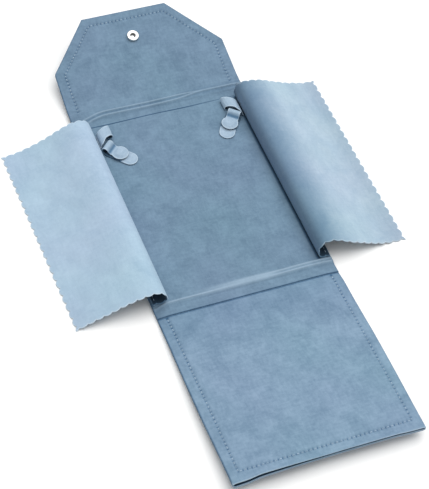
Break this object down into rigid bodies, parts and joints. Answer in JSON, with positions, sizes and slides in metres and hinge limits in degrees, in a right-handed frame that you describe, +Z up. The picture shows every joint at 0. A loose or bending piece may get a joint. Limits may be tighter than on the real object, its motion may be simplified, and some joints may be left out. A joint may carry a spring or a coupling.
{
  "type": "necklace travel folder",
  "caption": "Soft suede travel folder for a necklace: two boarded panels and a snap flap on soft spines, pinked cloth wings, a slip pocket and snap keepers.",
  "frame": {"origin": "centre of the underside of the middle panel, on the table", "axes": "+Z up from the table, +Y along the folder towards the snap flap, +X to the right of someone who looks from the lower panel to the flap"},
  "size_m": [0.236, 0.3942, 0.0226],
  "materials": {
    "suede": "brushed microfibre suede",
    "cloth": "thin brushed microfibre",
    "ribbon": "soft ribbon",
    "board": "grey-brown pasteboard",
    "thread": "polyester thread",
    "nickel": "nickel plate"
  },
  "bodies": {
    "middle_panel": {"middle_cover": "suede", "middle_board": "board", "middle_lining": "suede", "middle_crease_ridge": "suede", "left_wing_root": "cloth", "right_wing_root": "cloth", "left_wing_seam_thread": "thread", "right_wing_seam_thread": "thread", "left_keeper_loop": "ribbon", "right_keeper_loop": "ribbon", "left_keeper_leaf": "ribbon", "right_keeper_leaf": "ribbon", "left_keeper_stud": "nickel", "right_keeper_stud": "nickel"},
    "upper_spine": {"upper_spine_cover": "suede", "upper_spine_lining": "suede"},
    "flap": {"flap_cover": "suede", "flap_board": "board", "flap_lining": "suede", "flap_seam_thread": "thread", "flap_snap_cap": "nickel", "flap_snap_socket": "nickel", "flap_snap_spring_left": "nickel", "flap_snap_spring_right": "nickel"},
    "lower_spine": {"lower_spine_cover": "suede", "lower_spine_lining": "suede", "pocket_mouth_hem": "suede"},
    "lower_panel": {"lower_cover": "suede", "lower_board": "board", "lower_lining": "suede", "pocket_sheet": "suede", "pocket_seam_thread": "thread", "closing_stud": "nickel", "closing_stud_rivet": "nickel"},
    "left_wing": {"left_wing_sheet": "cloth"},
    "right_wing": {"right_wing_sheet": "cloth"},
    "left_keeper": {"left_keeper_tongue": "ribbon", "left_keeper_socket": "nickel"},
    "right_keeper": {"right_keeper_tongue": "ribbon", "right_keeper_socket": "nickel"}
  },
  "joints": [
    {"name": "upper_spine_fold", "type": "hinge", "parent": "middle_panel", "child": "upper_spine", "pos_m": [0, 0.08115, 0.0032], "axis": [1, 0, 0], "range_deg": [-6, 83]},
    {"name": "flap_fold", "type": "hinge", "parent": "upper_spine", "child": "flap", "pos_m": [0, 0.10219, 0.00578], "axis": [1, 0, 0], "range_deg": [-6, 83]},
    {"name": "lower_spine_fold", "type": "hinge", "parent": "middle_panel", "child": "lower_spine", "pos_m": [0, -0.08115, 0.0032], "axis": [-1, 0, 0], "range_deg": [-0.8, 88.5]},
    {"name": "lower_panel_fold", "type": "hinge", "parent": "lower_spine", "child": "lower_panel", "pos_m": [0, -0.09574, 0.00358], "axis": [-1, 0, 0], "range_deg": [-0.8, 88.5]},
    {"name": "left_wing_fold", "type": "hinge", "parent": "middle_panel", "child": "left_wing", "pos_m": [-0.05952, -0.00085, 0.01314], "axis": [0, 1, 0], "range_deg": [0, 194.72]},
    {"name": "right_wing_fold", "type": "hinge", "parent": "middle_panel", "child": "right_wing", "pos_m": [0.06097, 0.00125, 0.01429], "axis": [0, -1, 0], "range_deg": [0, 196.16]},
    {"name": "left_keeper_snap", "type": "hinge", "parent": "middle_panel", "child": "left_keeper", "pos_m": [-0.04722, 0.05631, 0.0084], "axis": [0.7193, 0.6947, 0], "range_deg": [-75, 0]},
    {"name": "right_keeper_snap", "type": "hinge", "parent": "middle_panel", "child": "right_keeper", "pos_m": [0.04784, 0.06139, 0.0084], "axis": [0.766, -0.6428, 0], "range_deg": [-75, 0]}
  ]
}
